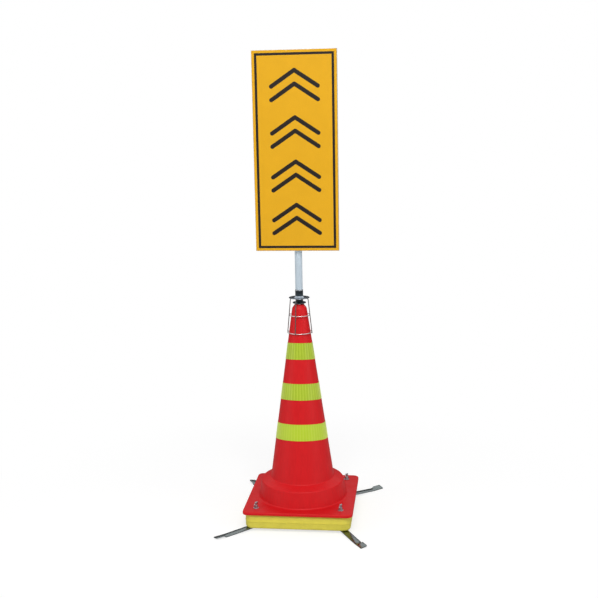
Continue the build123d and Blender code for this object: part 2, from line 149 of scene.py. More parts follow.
direction = nodes.new("ShaderNodeTexCoord")
parts = nodes.new("ShaderNodeSeparateXYZ")
links.new(direction.outputs["Generated"], parts.inputs[0])
mirrored = spread(nodes, links, parts.outputs[2], *horizon_height, horizon_shine, 1.0)
path = nodes.new("ShaderNodeLightPath")
by_ray = spread(nodes, links, path.outputs["Is Glossy Ray"], 0, 1, room_light, mirrored)
strength = spread(nodes, links, straight_rays(nodes, links, path), 0, 1, by_ray, 1.0)
links.new(strength, background.inputs["Strength"])
print("room", room_light)

# %% Floor
floor_size = 12.0
floor_white = 0.40
floor_glow = 0.66
floor_bounce = 0.75
floor_shine = 0.35
shadow_reach = (0.45, 1.3)

bpy.ops.mesh.primitive_plane_add(size=floor_size)
floor = bpy.context.object
floor.name = "floor"
paper = bpy.data.materials.new("white floor")
paper.use_nodes = True
nodes = paper.node_tree.nodes
links = paper.node_tree.links
nodes.clear()
output = nodes.new("ShaderNodeOutputMaterial")
seen = nodes.new("ShaderNodeBsdfDiffuse")
seen.inputs["Color"].default_value = (floor_white, floor_white, floor_white, 1)
glow = nodes.new("ShaderNodeEmission")
glow.inputs["Strength"].default_value = floor_glow
together = nodes.new("ShaderNodeAddShader")
links.new(seen.outputs[0], together.inputs[0])
links.new(glow.outputs[0], together.inputs[1])
bounce = nodes.new("ShaderNodeBsdfDiffuse")
bounce.inputs["Color"].default_value = (floor_bounce, floor_bounce, floor_bounce, 1)
place = nodes.new("ShaderNodeTexCoord")
distance = nodes.new("ShaderNodeVectorMath")
distance.operation = "LENGTH"
links.new(place.outputs["Object"], distance.inputs[0])
fade = spread(nodes, links, distance.outputs["Value"], *shadow_reach, 0.0, 1.0)
white = nodes.new("ShaderNodeEmission")
faded = nodes.new("ShaderNodeMixShader")
links.new(fade, faded.inputs[0])
links.new(together.outputs[0], faded.inputs[1])
links.new(white.outputs[0], faded.inputs[2])
shine = nodes.new("ShaderNodeEmission")
shine.inputs["Strength"].default_value = floor_shine
path = nodes.new("ShaderNodeLightPath")
by_ray = nodes.new("ShaderNodeMixShader")
links.new(path.outputs["Is Glossy Ray"], by_ray.inputs[0])
links.new(bounce.outputs[0], by_ray.inputs[1])
links.new(shine.outputs[0], by_ray.inputs[2])
choice = nodes.new("ShaderNodeMixShader")
links.new(straight_rays(nodes, links, path), choice.inputs[0])
links.new(by_ray.outputs[0], choice.inputs[1])
links.new(faded.outputs[0], choice.inputs[2])
links.new(choice.outputs[0], output.inputs["Surface"])
floor.data.materials.append(paper)
print("floor", floor_size, "m")

# %% Lamps
lamp_per_square_metre = math.pi ** 2


def soft_lamp(name, place, size, share):
    """Square lamp that gives a share of full light at the middle of the object."""
    target = Vector((0, 0, (cad_low.z + cad_high.z) / 2))
    bpy.ops.object.light_add(type="AREA", location=place)
    lamp = bpy.context.object
    lamp.name = name
    lamp.data.shape = "SQUARE"
    lamp.data.size = size
    lamp.data.energy = share * lamp_per_square_metre * (target - lamp.location).length_squared
    lamp.rotation_mode = "QUATERNION"
    lamp.rotation_quaternion = (target - lamp.location).to_track_quat("-Z", "Y")


soft_lamp("key_lamp", (0.5, -3.0, 4.0), 2.4, 0.62)
soft_lamp("left_lamp", (-3.6, -2.0, 1.3), 2.4, 0.15)
soft_lamp("right_lamp", (3.8, -1.8, 1.3), 2.4, 0.15)
bpy.context.scene.view_settings.view_transform = "Standard"

# %% [markdown]
# ## Helpers for finishes
#
# A finish is a Principled shader with some small unevenness in it. The unevenness comes from noise in
# Object coordinates, which are plain metres here, so one number says how large a speck is.

# %% Helpers for materials
noise_low = 0.3
noise_high = 0.7


def linear(red, green, blue):
    """Colour as it is read off a screen, from 0 to 255, as Blender's linear values."""
    def open_up(value):
        share = value / 255
        return share / 12.92 if share <= 0.04045 else ((share + 0.055) / 1.055) ** 2.4
    return (open_up(red), open_up(green), open_up(blue), 1)


class Finish:
    """A Principled material with helpers for its unevenness."""

    def __init__(self, name, colour, roughness, metallic=0.0):
        self.material = bpy.data.materials.new(name)
        self.material.use_nodes = True
        self.nodes = self.material.node_tree.nodes
        self.links = self.material.node_tree.links
        self.shader = self.nodes["Principled BSDF"]
        self.colour = colour
        self.set("Base Color", colour)
        self.set("Roughness", roughness)
        self.set("Metallic", metallic)

    def set(self, socket, value):
        self.shader.inputs[socket].default_value = value

    def noise(self, size, detail=3.0, stretch=(1, 1, 1), turn=0.0):
        """Noise with specks of a size in metres, drawn out along an axis by a stretch."""
        place = self.nodes.new("ShaderNodeTexCoord")
        lay = self.nodes.new("ShaderNodeMapping")
        lay.vector_type = "POINT"
        lay.inputs["Rotation"].default_value = (0, 0, turn)
        lay.inputs["Scale"].default_value = [1 / (size * long) for long in stretch]
        noise = self.nodes.new("ShaderNodeTexNoise")
        noise.inputs["Scale"].default_value = 1.0
        noise.inputs["Detail"].default_value = detail
        self.links.new(place.outputs["Object"], lay.inputs["Vector"])
        self.links.new(lay.outputs["Vector"], noise.inputs["Vector"])
        return noise.outputs["Fac"]

    def ramp(self, source, stops):
        """Colour ramp with its stops as pairs of place and colour."""
        ramp = self.nodes.new("ShaderNodeValToRGB")
        while len(ramp.color_ramp.elements) < len(stops):
            ramp.color_ramp.elements.new(0.5)
        for element, (place, colour) in zip(ramp.color_ramp.elements, stops):
            element.position = place
            element.color = colour
        self.links.new(source, ramp.inputs["Fac"])
        return ramp.outputs["Color"]

    def shade(self, factor):
        """The finish's colour, made darker or lighter by a factor."""
        return tuple(min(1, part * factor) for part in self.colour[:3]) + (1,)

    def mottle(self, source, low, high):
        """Let the colour wander between two factors of itself, after a noise."""
        colour = self.ramp(source, [(noise_low, self.shade(low)), (noise_high, self.shade(high))])
        self.links.new(colour, self.shader.inputs["Base Color"])

    def polish(self, source, low, high):
        """Let the roughness wander between two values."""
        spread = self.nodes.new("ShaderNodeMapRange")
        spread.inputs["From Min"].default_value = noise_low
        spread.inputs["From Max"].default_value = noise_high
        spread.inputs["To Min"].default_value = low
        spread.inputs["To Max"].default_value = high
        self.links.new(source, spread.inputs["Value"])
        self.links.new(spread.outputs["Result"], self.shader.inputs["Roughness"])

    def relief(self, source, depth):
        """Bump of a depth in metres."""
        bump = self.nodes.new("ShaderNodeBump")
        bump.inputs["Distance"].default_value = depth
        self.links.new(source, bump.inputs["Height"])
        self.links.new(bump.outputs["Normal"], self.shader.inputs["Normal"])


def dress(finish, *nodes_of_frame):
    """Give pieces of the construction a finish."""
    for name in nodes_of_frame:
        piece = frame["nodes"][name]
        piece.data.materials.clear()
        piece.data.materials.append(finish.material)


print("helpers ready")

# %% Plastics
cone_red = Finish("moulded red plastic", linear(204, 14, 21), 0.46)
cone_red.set("Specular IOR Level", 0.25)
cone_red.mottle(cone_red.noise(5 * mm, 2, (1, 1, 60)), 0.95, 1.04)
cone_red.polish(cone_red.noise(30 * mm, 4), 0.42, 0.54)
cone_red.relief(cone_red.noise(1.2 * mm), 0.05 * mm)
dress(cone_red, "cone_shell", "cone_tip")

tank_yellow = Finish("blow-moulded yellow plastic", linear(218, 206, 76), 0.42)
tank_yellow.set("Specular IOR Level", 0.35)
tank_yellow.mottle(tank_yellow.noise(25 * mm, 5), 0.93, 1.04)
tank_yellow.polish(tank_yellow.noise(12 * mm, 4), 0.36, 0.52)
tank_yellow.relief(tank_yellow.noise(1.5 * mm), 0.06 * mm)
dress(tank_yellow, "weight_tank", "filler_cap", "filler_neck")

white_nylon = Finish("white nylon", linear(222, 222, 216), 0.45)
white_nylon.polish(white_nylon.noise(2 * mm, 3), 0.40, 0.55)
dress(white_nylon, "tip_bush")
cap_black = Finish("black plastic", linear(38, 38, 40), 0.45)
cap_black.polish(cap_black.noise(2 * mm, 3), 0.38, 0.52)
dress(cap_black, "pole_cap", "filler_gasket")
filling = Finish("filling", linear(160, 172, 176), 0.5)
dress(filling, "ballast_fill")

# %% [markdown]
# ## Reflective films
#
# Such a film is a clear skin over a white or coloured backing, pressed together along a lattice of
# diamonds. It could be drawn in a picture, but here it is worked out: round a sleeve, the angle and
# the height together give two families of slanting lines, and where either comes near a whole number
# there is a seam. A whole number of diamonds goes round, so the lattice closes without a joint. Such
# film also throws light back where it is seen at a slant, which a little sheen stands for. The three
# tapes are one film, but the lower a tape sits, the brighter its colour is made, which is painted light.

# %% Lattice helpers
def calculate(finish, operation, first, second=None):
    """One step of arithmetic in a material's nodes."""
    step = finish.nodes.new("ShaderNodeMath")
    step.operation = operation
    for socket, value in zip(step.inputs, (first, second)):
        if isinstance(value, (int, float)):
            socket.default_value = value
        elif value is not None:
            finish.links.new(value, socket)
    return step.outputs[0]


def position(finish):
    """The three Object coordinates of a point, in metres."""
    place = finish.nodes.new("ShaderNodeTexCoord")
    parts = finish.nodes.new("ShaderNodeSeparateXYZ")
    finish.links.new(place.outputs["Object"], parts.inputs[0])
    return parts.outputs


def seams(finish, across, up, width):
    """One on the lattice's seams and nought inside its diamonds."""
    lines = []
    for operation in ("ADD", "SUBTRACT"):
        place = calculate(finish, "FRACT", calculate(finish, operation, across, up))
        off = calculate(finish, "ABSOLUTE", calculate(finish, "SUBTRACT", place, 0.5))
        lines.append(calculate(finish, "GREATER_THAN", off, 0.5 - width))
    return calculate(finish, "MAXIMUM", *lines)


def diamonds(finish, across, up):
    """Nought or one in turn from one diamond to the next."""
    rows = [calculate(finish, "FLOOR", calculate(finish, operation, across, up))
            for operation in ("ADD", "SUBTRACT")]
    half = calculate(finish, "MULTIPLY", calculate(finish, "ADD", *rows), 0.5)
    return calculate(finish, "GREATER_THAN", calculate(finish, "FRACT", half), 0.25)


def blend_colours(finish, factor, first, second):
    """The first colour where the factor is nought and the second where it is one."""
    mix = finish.nodes.new("ShaderNodeMix")
    mix.data_type = "RGBA"
    finish.links.new(factor, mix.inputs[0])
    for socket, value in ((mix.inputs[6], first), (mix.inputs[7], second)):
        if isinstance(value, tuple):
            socket.default_value = value
        else:
            finish.links.new(value, socket)
    return mix.outputs[2]


# %% Films on the cone
diamond_height = 10.6 * mm
diamond_seam = 0.09
lattice_half = 25.6 * mm
dark_diamond = 0.76
light_diamond = 1.24


def sleeve_film(name, around, painted_light_factor):
    """Lime film with a number of diamonds around it. The tape's own height comes from its map. A factor makes its
    colour lighter, which is painted light.
    """
    finish = Finish(name, linear(177, 202, 44), 0.36)
    finish.set("Specular IOR Level", 0.3)
    finish.set("Coat Weight", 0.08)
    finish.set("Coat Roughness", 0.08)
    finish.set("Sheen Weight", 0.8)
    finish.set("Sheen Roughness", 0.5)
    finish.set("Sheen Tint", linear(236, 250, 150))
    x, y = position(finish)[:2]
    tape_map = finish.nodes.new("ShaderNodeUVMap")
    tape_parts = finish.nodes.new("ShaderNodeSeparateXYZ")
    finish.links.new(tape_map.outputs[0], tape_parts.inputs[0])
    height = tape_parts.outputs[1]
    across = calculate(finish, "MULTIPLY", calculate(finish, "ARCTAN2", y, x), around / (2 * math.pi))
    up = calculate(finish, "MULTIPLY", height, 1 / diamond_height)
    line = seams(finish, across, up, diamond_seam)
    # The diamonds' colours are scaled by the tape's factor, which paints light into them.
    cell = blend_colours(finish, diamonds(finish, across, up),
                         finish.shade(dark_diamond * painted_light_factor),
                         finish.shade(light_diamond * painted_light_factor))
    seamed = blend_colours(finish, line, cell, linear(190, 210, 66))
    margin = calculate(finish, "GREATER_THAN", calculate(finish, "ABSOLUTE", height), lattice_half)
    whole = blend_colours(finish, margin, seamed, linear(204, 196, 62))
    finish.links.new(whole, finish.shader.inputs["Base Color"])
    finish.relief(line, 0.06 * mm)
    return finish


sleeve_of = {}
# One film for all three tapes, its colour made brighter the lower the tape sits: painted light, lit copies of one
# material.
for name, painted_light_factor in [("band_upper", 1.04), ("band_middle", 1.10), ("band_lower", 1.32)]:
    low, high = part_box(name)
    around = round(2 * math.pi * high.x / diamond_height)
    sleeve_of[name] = sleeve_film("lime film " + name[5:], around, painted_light_factor)
    dress(sleeve_of[name], name)
print("films", sorted(sleeve_of))

# %% Film and ink on the board
face_diamond = 3.2 * mm
face_yellow = Finish("reflective yellow film", linear(220, 164, 27), 0.42)
face_yellow.set("Specular IOR Level", 0.2)
x, y, z = position(face_yellow)
face_across = calculate(face_yellow, "MULTIPLY", x, 1 / face_diamond)
face_up = calculate(face_yellow, "MULTIPLY", z, 1 / face_diamond)
face_seam = seams(face_yellow, face_across, face_up, 0.07)
face_cell = face_yellow.ramp(face_yellow.noise(60 * mm, 3), [
    (noise_low, face_yellow.shade(0.97)), (noise_high, face_yellow.shade(1.03))])
face_colour = blend_colours(face_yellow, face_seam, face_cell, face_yellow.shade(0.93))
face_yellow.links.new(face_colour, face_yellow.shader.inputs["Base Color"])
face_yellow.relief(face_seam, 0.02 * mm)
dress(face_yellow, "face_sheet")
ink_black = Finish("black ink", linear(30, 24, 20), 0.4)
ink_black.polish(ink_black.noise(3 * mm, 3), 0.34, 0.48)
print("face film", face_diamond)

# %% Metals
bright_steel = Finish("bright plated steel", linear(200, 204, 208), 0.24, 1.0)
bright_steel.polish(bright_steel.noise(3 * mm, 4), 0.18, 0.34)
dress(bright_steel, "pole_plug", "saddle_upper", "saddle_lower")
disc_steel = Finish("chromed disc", linear(168, 178, 188), 0.16, 1.0)
disc_steel.polish(disc_steel.noise(2 * mm, 4), 0.10, 0.28)
dress(disc_steel, "cage_disc")
hoop_steel = Finish("bright wire", linear(226, 216, 214), 0.30, 1.0)
hoop_steel.polish(hoop_steel.noise(2 * mm, 3), 0.24, 0.38)
dress(hoop_steel, "cage_hoop_upper", "cage_hoop_lower")
wire_steel = Finish("drawn wire", linear(140, 138, 134), 0.34, 1.0)
wire_steel.polish(wire_steel.noise(2 * mm, 3, (1, 1, 12)), 0.26, 0.44)
dress(wire_steel, "cage_wires")
zinc_steel = Finish("zinc-plated steel", linear(176, 180, 184), 0.32, 1.0)
zinc_steel.mottle(zinc_steel.noise(4 * mm, 4), 0.88, 1.08)
zinc_steel.polish(zinc_steel.noise(1.5 * mm, 4), 0.24, 0.42)
dress(zinc_steel, "corner_bolts", "corner_washers", "stud", "saddle_bolts", "saddle_nuts",
      "wing_nut_front_right", "wing_nut_front_left", "wing_nut_rear_right", "wing_nut_rear_left")
dark_steel = Finish("darkened steel", linear(84, 94, 100), 0.34, 1.0)
dark_steel.mottle(dark_steel.noise(3 * mm, 4), 0.8, 1.15)
dark_steel.polish(dark_steel.noise(1.5 * mm, 4), 0.24, 0.44)
dress(dark_steel, "seat_washer", "spring_washer", "lower_nuts", "upper_nut")
leg_steel = Finish("rolled steel bar", linear(128, 136, 136), 0.20, 1.0)
leg_steel.mottle(leg_steel.noise(6 * mm, 5), 0.86, 1.10)
leg_steel.polish(leg_steel.noise(4 * mm, 4), 0.14, 0.30)
dress(leg_steel, "leg_front_right", "leg_front_left", "leg_rear_right", "leg_rear_left")
pole_metal = Finish("pale coated tube", linear(207, 222, 233), 0.34, 0.25)
pole_metal.mottle(pole_metal.noise(8 * mm, 4, (1, 1, 6)), 0.96, 1.03)
pole_metal.polish(pole_metal.noise(6 * mm, 4, (1, 1, 8)), 0.28, 0.42)
dress(pole_metal, "pole_tube")

# %% [markdown]
# Zinc that was dipped hot sets in flat crystals, a few millimetres across, each a little lighter or
# darker than the next. Voronoi cells have the same look, with one random grey for each cell.

# %% Zinc-coated sheet
def spangled(name, colour, size):
    """Zinc-coated sheet with crystals of a size in metres."""
    finish = Finish(name, colour, 0.42, 0.85)
    place = finish.nodes.new("ShaderNodeTexCoord")
    crystals = finish.nodes.new("ShaderNodeTexVoronoi")
    crystals.inputs["Scale"].default_value = 1 / size
    finish.links.new(place.outputs["Object"], crystals.inputs["Vector"])
    grey = finish.nodes.new("ShaderNodeSeparateColor")
    finish.links.new(crystals.outputs["Color"], grey.inputs[0])
    finish.mottle(grey.outputs[0], 0.88, 1.06)
    finish.polish(grey.outputs[1], 0.34, 0.54)
    return finish


board_metal = spangled("zinc-coated tray", linear(200, 203, 204), 7 * mm)
rail_metal = spangled("zinc-coated rail", linear(190, 194, 196), 5 * mm)
dress(board_metal, "board_panel")
dress(rail_metal, "rail_upper", "rail_lower")
print("metals ready")

# %% [markdown]
# ## Helpers for modelling
#
# Most pieces start as one primitive and are shaped in edit mode, as by hand. A script has no mouse, so
# faces and edges are picked by where they lie. Each finished piece keeps its place in its mesh and
# stands at the world's origin, because it then turns with its body just as the construction does.

# %% Helpers for modelling
tiny = 0.02 * mm
bodies = frame["record"]["behaviour"]["bodies"]
body_of = {node: body for body, members in bodies.items() for node in members}


def hold(*pieces):
    """Leave edit mode and select only these pieces, the first one active."""
    if bpy.context.object is not None and bpy.context.object.mode != "OBJECT":
        bpy.ops.object.mode_set(mode="OBJECT")
    bpy.ops.object.select_all(action="DESELECT")
    for piece in pieces:
        piece.select_set(True)
    if pieces:
        bpy.context.view_layer.objects.active = pieces[0]


def settle(name):
    """Name the new primitive and move its place into its mesh."""
    piece = bpy.context.object
    piece.name = name
    piece.data.name = name
    bpy.ops.object.transform_apply(location=True, rotation=True, scale=True)
    return piece


def edit(piece):
    hold(piece)
    bpy.ops.object.mode_set(mode="EDIT")


def pick(kind, test):
    """In edit mode, select the vertices, edges or faces that pass a test."""
    bpy.ops.mesh.select_all(action="DESELECT")
    bpy.ops.mesh.select_mode(type=kind)
    mesh = bpy.context.edit_object.data
    model = bmesh.from_edit_mesh(mesh)
    items = {"VERT": model.verts, "EDGE": model.edges, "FACE": model.faces}[kind]
    for item in items:
        item.select_set(test(item))
    model.select_flush_mode()
    bmesh.update_edit_mesh(mesh)


def at_height(edge, height):
    return all(abs(vertex.co.z - height) < tiny for vertex in edge.verts)


def upright(edge):
    side = edge.verts[0].co - edge.verts[1].co
    return math.hypot(side.x, side.y) < tiny and abs(side.z) > tiny


def modify(piece, kind, **settings):
    """Give a piece a modifier and apply it."""
    hold(piece)
    modifier = piece.modifiers.new(kind.lower(), kind)
    for name, value in settings.items():
        setattr(modifier, name, value)
    bpy.ops.object.modifier_apply(modifier=modifier.name)


def smooth(piece, angle=35):
    """Shade smoothly across edges flatter than an angle."""
    hold(piece)
    bpy.ops.object.shade_smooth_by_angle(angle=math.radians(angle))


def join(name, pieces):
    """Make one piece of several."""
    hold(*pieces)
    if len(pieces) > 1:
        bpy.ops.object.join()
    pieces[0].name = name
    pieces[0].data.name = name
    return pieces[0]


def copy_of(piece, name):
    """Copy of a piece with a mesh of its own."""
    twin = piece.copy()
    twin.data = piece.data.copy()
    twin.name = name
    bpy.context.scene.collection.objects.link(twin)
    return twin


def boolean(piece, tool, operation):
    """Cut, join or keep the overlap with a tool, which is then thrown away."""
    modify(piece, "BOOLEAN", object=tool, operation=operation, solver="EXACT")
    bpy.data.objects.remove(tool)


def stand_in(piece, finish, *replaced):
    """Let a modelled piece take the place of pieces of the construction."""
    hold()
    if not piece.data.materials:
        piece.data.materials.append(finish.material)
    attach(piece, body_of[replaced[0]])
    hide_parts(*replaced)
    print(piece.name, len(piece.data.polygons), "faces")


def soften(points, radii, steps=6):
    """Outline through the points, with each corner between the ends rounded by an arc."""
    points = [Vector(point) for point in points]
    outline = [points[0]]
    for before, corner, after, radius in zip(points, points[1:], points[2:], radii):
        back = (before - corner).normalized()
        ahead = (after - corner).normalized()
        half = back.angle(ahead) / 2
        centre = corner + (back + ahead).normalized() * (radius / math.sin(half))
        start = corner + back * (radius / math.tan(half)) - centre
        end = corner + ahead * (radius / math.tan(half)) - centre
        turn = start.angle_signed(end)
        for step in range(steps + 1):
            outline.append(centre + Matrix.Rotation(-turn * step / steps, 2) @ start)
    outline.append(points[-1])
    return outline


def draw_out(outline):
    """Extrude the selected ring along an outline of radius and height, starting at its first point."""
    for (radius, height), (next_radius, next_height) in zip(outline, outline[1:]):
        bpy.ops.mesh.extrude_region_move(TRANSFORM_OT_translate={"value": (0, 0, next_height - height)})
        share = next_radius / radius
        bpy.ops.transform.resize(value=(share, share, 1), center_override=(0, 0, next_height))


def turned(name, outline, ring_count=96):
    """Round piece whose closed outline of radius and height is drawn out from one ring."""
    hold()
    radius, height = outline[0]
    bpy.ops.mesh.primitive_circle_add(vertices=ring_count, radius=radius, location=(0, 0, height))
    piece = settle(name)
    edit(piece)
    bpy.ops.mesh.select_all(action="SELECT")
    draw_out(list(outline) + [outline[0]])
    bpy.ops.mesh.select_all(action="SELECT")
    bpy.ops.mesh.remove_doubles(threshold=0.001 * mm)
    bpy.ops.mesh.normals_make_consistent(inside=False)
    hold()
    return piece


def rod(name, radius, low, high, at=(0, 0), count=64):
    """Plain upright cylinder."""
    hold()
    bpy.ops.mesh.primitive_cylinder_add(vertices=count, radius=radius, depth=high - low,
                                        location=(at[0], at[1], (low + high) / 2))
    return settle(name)


def radius_at(node, height):
    """Largest distance from the axis among a node's points at a height."""
    points = [vertex.co for vertex in frame["nodes"][node].data.vertices]
    return max(math.hypot(point.x, point.y) for point in points if abs(point.z - height) < tiny)


corners = {joint["child"]: Vector(joint["pos_m"]) for joint in frame["joints"] if "pos_m" in joint}
corner_names = ["front_right", "rear_right", "rear_left", "front_left"]
corner_of = {name: corners["leg_" + name] for name in corner_names}
print("corners", {name: tuple(round(value, 3) for value in place) for name, place in corner_of.items()})

# %% [markdown]
# ## Cone
#
# The cone is one moulded skin, three millimetres thick: a square plate with a turned-down rim, a round
# step, a tapered shaft and a rounded tip. It could be cut from solids, but the skin would then have
# to be hollowed out. Here it grows the way it is moulded. The plate's outline and the step's foot
# have the same number of points, so one bridge joins them. The ring is then drawn up along the
# outline, and Solidify gives the whole skin its wall.

# %% Cone plate
cone_low, shell_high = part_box("cone_shell")
tip_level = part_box("cone_tip")[1].z
rim_level = cone_low.z
plate_side = shell_high.x - cone_low.x
plate_level = rim_level + 10 * mm
plate_corner = 20 * mm
plate_edge = 3 * mm
cone_wall = 3 * mm
cone_ring = 128

hold()
bpy.ops.mesh.primitive_cube_add(size=1, location=(0, 0, (rim_level + plate_level) / 2),
                                scale=(plate_side, plate_side, plate_level - rim_level))
cone = settle("cone")
edit(cone)
pick("EDGE", upright)
bpy.ops.mesh.bevel(offset=plate_corner, segments=cone_ring // 4 - 1, affect="EDGES")
pick("FACE", lambda face: face.normal.z < -0.9)
bpy.ops.mesh.delete(type="ONLY_FACE")
pick("EDGE", lambda edge: at_height(edge, plate_level))
bpy.ops.mesh.bevel(offset=plate_edge, segments=4, affect="EDGES", clamp_overlap=False)
pick("FACE", lambda face: face.normal.z > 0.999)
bpy.ops.mesh.delete(type="ONLY_FACE")

# %% Cone step, shaft and tip
step_foot = (156 * mm, plate_level)
step_top = (146 * mm, plate_level + 59 * mm)
shaft_foot = (112 * mm, step_top[1] + 13 * mm)
shoulder = (25.4 * mm, tip_level - 14 * mm)
tip = (15 * mm, tip_level)
tip_hole = (8.5 * mm, tip_level)
skirt = (step_foot[0] + 12 * mm, plate_level)

bpy.ops.mesh.primitive_circle_add(vertices=cone_ring, radius=skirt[0], location=(0, 0, plate_level))
pick("EDGE", lambda edge: at_height(edge, plate_level) and len(edge.link_faces) < 2)
bpy.ops.mesh.bridge_edge_loops()
pick("EDGE", lambda edge: len(edge.link_faces) == 1 and at_height(edge, plate_level))
draw_out(soften([skirt, step_foot, step_top, shaft_foot, shoulder, tip, tip_hole],
                [6 * mm, 5 * mm, 5 * mm, 14 * mm, 5 * mm], 8))
bpy.ops.mesh.select_all(action="SELECT")
bpy.ops.mesh.remove_doubles(threshold=0.001 * mm)
bpy.ops.mesh.normals_make_consistent(inside=False)
modify(cone, "SOLIDIFY", thickness=cone_wall, offset=-1, use_even_offset=True)
print("cone", len(cone.data.vertices), "points")

# %% [markdown]
# Under the plate each bolt has a boss to press on, and short ribs stiffen the rim. They show only
# from below, but they are part of such a cone.

# %% Cone bosses, ribs and bolt holes
bolt_hole = 4.5 * mm
boss_radius = 15 * mm
rib_width = 3 * mm
plate_under = plate_level - cone_wall - 0.2 * mm
extras = []
for name, place in corner_of.items():
    boss = turned("boss", [(boss_radius, rim_level), (boss_radius, plate_under),
                           (bolt_hole, plate_under), (bolt_hole, rim_level)], 48)
    boss.data.transform(Matrix.Translation((place.x, place.y, 0)))
    extras.append(boss)
    boolean(cone, rod("drill", bolt_hole, 0, plate_level + 10 * mm, (place.x, place.y)), "DIFFERENCE")
rib_start = step_foot[0]
rib_end = plate_side / 2 - cone_wall
for turn in range(4):
    bpy.ops.mesh.primitive_cube_add(
        size=1, location=((rib_start + rib_end) / 2, 0, (rim_level + plate_under) / 2),
        scale=(rib_end - rib_start, rib_width, plate_under - rim_level))
    rib = settle("rib")
    rib.data.transform(Matrix.Rotation(turn * math.pi / 2, 4, "Z"))
    extras.append(rib)
cone = join("cone", [cone] + extras)
smooth(cone)
stand_in(cone, cone_red, "cone_shell", "cone_tip")

# %% [markdown]
# ## Pieces that only need soft edges
#
# Washers, rails, saddles and the like already have their final form in the construction. They only
# lack the tiny round along each edge that catches the light. They could be modelled again, but a copy
# is quicker: its loose triangles are merged, triangles in one plane are dissolved into whole faces,
# and a narrow bevel softens every edge sharper than thirty degrees.

# %% Soften copies
def plain_copy(node, name):
    """Copy of a piece of the construction with its triangles merged into whole faces."""
    piece = bpy.data.objects.new(name, frame["nodes"][node].data.copy())
    bpy.context.scene.collection.objects.link(piece)
    piece.data.materials.clear()
    edit(piece)
    bpy.ops.mesh.select_all(action="SELECT")
    bpy.ops.mesh.remove_doubles(threshold=0.002 * mm)
    bpy.ops.mesh.dissolve_limited(angle_limit=math.radians(0.5))
    hold()
    return piece


def softened(finish, edge, *nodes_of_frame):
    """Let merged copies with softened edges stand in for pieces of the construction."""
    for node in nodes_of_frame:
        piece = plain_copy(node, node + "_soft")
        modify(piece, "BEVEL", width=edge, segments=2, limit_method="ANGLE",
               angle_limit=math.radians(30))
        smooth(piece, 40)
        stand_in(piece, finish, node)


# %% [markdown]
# ## Tank
#
# The tank is blow-moulded: its edges are round all over, and the two halves of the mould leave a fine
# line half way up. The construction has all of that, so the tank, its filler neck and its cap are
# copies with their facets smoothed.

# %% Tank, neck and cap
softened(tank_yellow, 0.3 * mm, "weight_tank", "filler_neck", "filler_cap")

# %% [markdown]
# ## Reflective tapes
#
# Each band is a straight tape, wrapped round a shaft that tapers. A straight line on a cone is not
# level: it starts level in front and sinks as it goes round, because the cone grows wider below. So
# each tape is first drawn out as a level ring, and its points then slide down the cone. How far follows
# from the unrolled cone, where the tape is a straight line beside a circle. Behind the shaft the tape
# is let run level again, so that its ends meet.

# %% Tapes
film = 0.5 * mm
tape_trim = 3.0 * mm
steer_start = math.radians(62)
steer_ease = math.radians(22)


def slide(point, taper):
    """Point of a level ring moved down the cone to where a straight tape has it."""
    turn = abs(math.atan2(point.x, -point.y))
    if turn > steer_start:
        turn = steer_start + steer_ease * (1 - math.exp((steer_start - turn) / steer_ease))
    radius = math.hypot(point.x, point.y)
    slant = radius / math.sin(taper)
    down = slant * (1 / math.cos(turn * math.sin(taper)) - 1)
    share = (radius + down * math.sin(taper)) / radius
    return Vector((point.x * share, point.y * share, point.z - down * math.cos(taper)))


for name in ["band_upper", "band_middle", "band_lower"]:
    low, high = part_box(name)
    low_radius = radius_at(name, low.z)
    high_radius = radius_at(name, high.z)
    taper = math.atan2(low_radius - high_radius, high.z - low.z)
    top = (high_radius + tape_trim * math.tan(taper), high.z - tape_trim)
    tape = turned(name + "_tape", [(low_radius - film, low.z), (low_radius, low.z), top,
                                   (top[0] - film, top[1])], 160)
    tape_map = tape.data.uv_layers.new(name="tape")
    for loop in tape.data.loops:
        point = tape.data.vertices[loop.vertex_index].co
        tape_map.data[loop.index].uv = (0, point.z - (low.z + top[1]) / 2)
    for vertex in tape.data.vertices:
        vertex.co = slide(vertex.co, taper)
    smooth(tape, 50)
    stand_in(tape, sleeve_of[name], name)

# %% [markdown]
# ## Legs
#
# A leg is a flat steel bar with a round eye at the bolt. It runs level under the tank, slopes down to
# the ground, lies flat for a little and ends in a toe that is twisted to stand on one edge. It could be
# drawn as a side view and extruded across, but the ends are round in plan. So the bar starts flat, is
# cut across wherever it bends, and each cut is then lowered onto the side view's line. The toe's cuts
# are turned about the bar's middle as well.

# %% Leg outline
leg_width = 25 * mm
leg_thickness = 3.2 * mm
leg_reach = 164 * mm
leg_bottom = 6 * mm
leg_line = soften([(-30 * mm, leg_bottom), (24 * mm, leg_bottom), (120 * mm, 0), (170 * mm, 0)],
                  [60 * mm, 60 * mm])
leg_tip_radius = 4 * mm
toe_start = 127 * mm
toe_turned = 135 * mm
toe_twist = math.radians(12.5)
bolt_radius = 4 * mm
running_gap = 0.08 * mm


def on_line(line, along):
    """Height of an outline at a place along it."""
    for (start, low), (end, high) in zip(line, line[1:]):
        if start <= along <= end:
            return low + (high - low) * (along - start) / (end - start)
    return line[-1][1]


def bend_leg(point):
    """Lower a point of the flat bar onto the leg's line, and twist it if it is in the toe."""
    share = min(1, max(0, (point.x - toe_start) / (toe_turned - toe_start)))
    twist = toe_twist * share * share * (3 - 2 * share)
    above = point.z - leg_thickness / 2
    middle = (leg_width / 2 * math.sin(twist) + leg_thickness / 2 * math.cos(twist)
              + on_line(leg_line, point.x))
    return Vector((point.x, point.y * math.cos(twist) - above * math.sin(twist),
                   middle + point.y * math.sin(twist) + above * math.cos(twist)))


